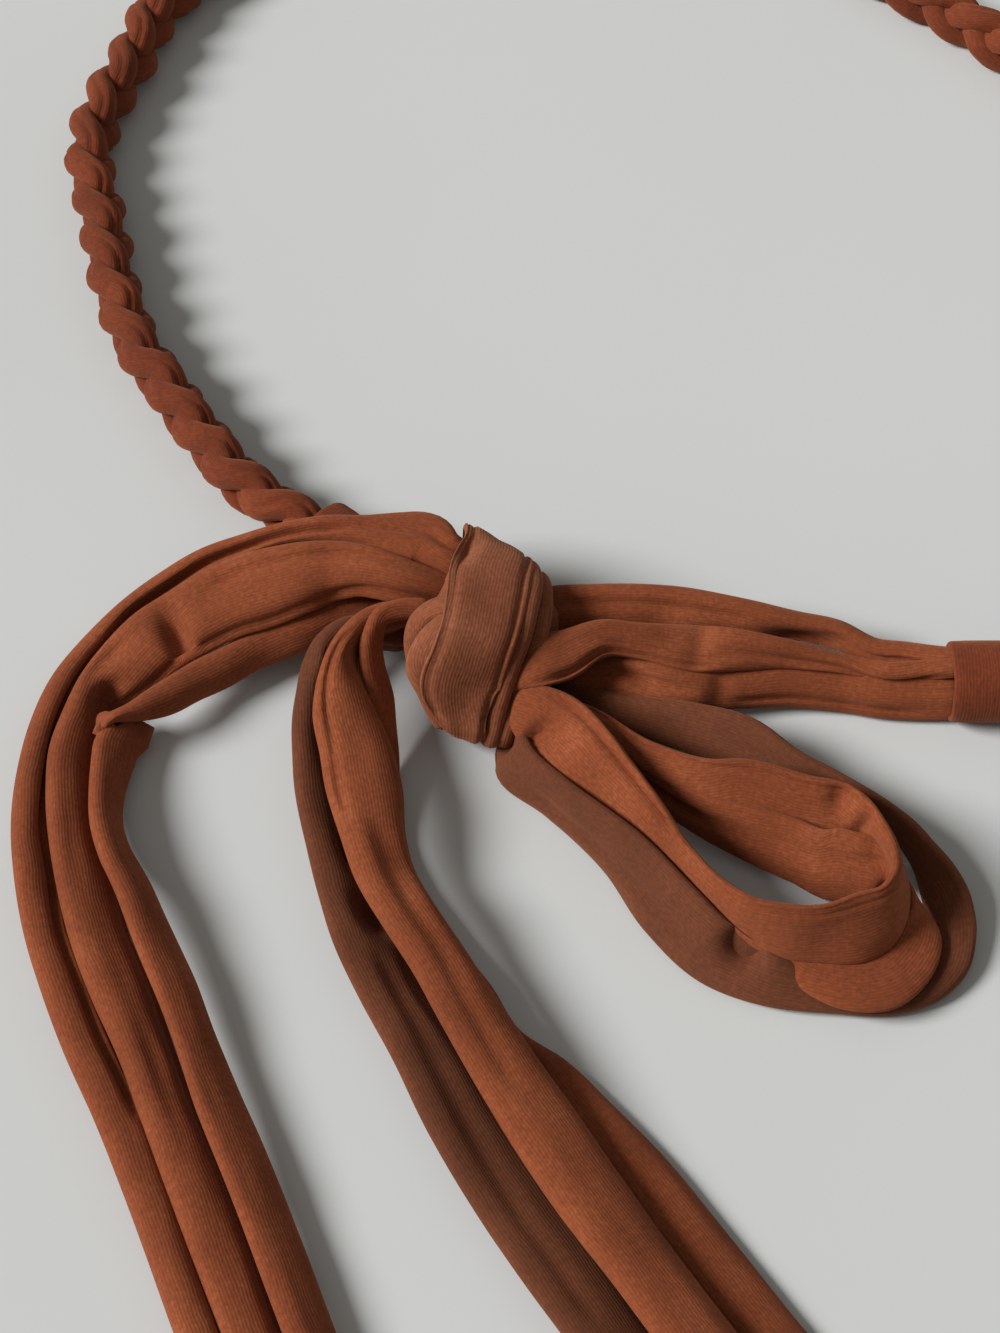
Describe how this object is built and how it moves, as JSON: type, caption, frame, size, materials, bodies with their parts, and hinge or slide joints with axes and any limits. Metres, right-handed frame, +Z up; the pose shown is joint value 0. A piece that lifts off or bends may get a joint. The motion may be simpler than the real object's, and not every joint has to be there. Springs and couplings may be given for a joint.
{
  "type": "braided belt",
  "caption": "Soft belt of jersey strips braided round the waist, tied in front in a half bow with one loop and long loose tails.",
  "frame": {"origin": "on the surface the belt lies on, under the middle of its box", "axes": "+Z up from the surface, +Y from the tails across the knot to the back of the waist loop, +X to the side where the bow loop lies"},
  "size_m": [0.2672, 0.4223, 0.0293],
  "materials": {
    "braid_jersey": "matte knitted jersey",
    "loose_jersey": "matte knitted jersey",
    "knot_jersey": "matte knitted jersey"
  },
  "bodies": {
    "root": {"knot_core": "knot_jersey", "knot_wrap_1": "knot_jersey", "knot_wrap_2": "knot_jersey", "knot_wrap_3": "knot_jersey", "collar_left": "braid_jersey", "collar_right": "braid_jersey", "tail_left_1": "loose_jersey", "tail_left_2": "loose_jersey", "tail_left_3": "loose_jersey", "tail_centre_1": "loose_jersey", "tail_centre_2": "loose_jersey", "tail_centre_3": "loose_jersey", "loop_1": "loose_jersey", "loop_2": "loose_jersey", "loop_3": "loose_jersey", "right_tie_1": "loose_jersey", "right_tie_2": "loose_jersey", "right_tie_3": "loose_jersey", "left_tie_1": "loose_jersey", "left_tie_2": "loose_jersey", "left_tie_3": "loose_jersey", "braid_strand_1": "braid_jersey", "braid_strand_2": "braid_jersey", "braid_strand_3": "braid_jersey"}
  },
  "joints": []
}
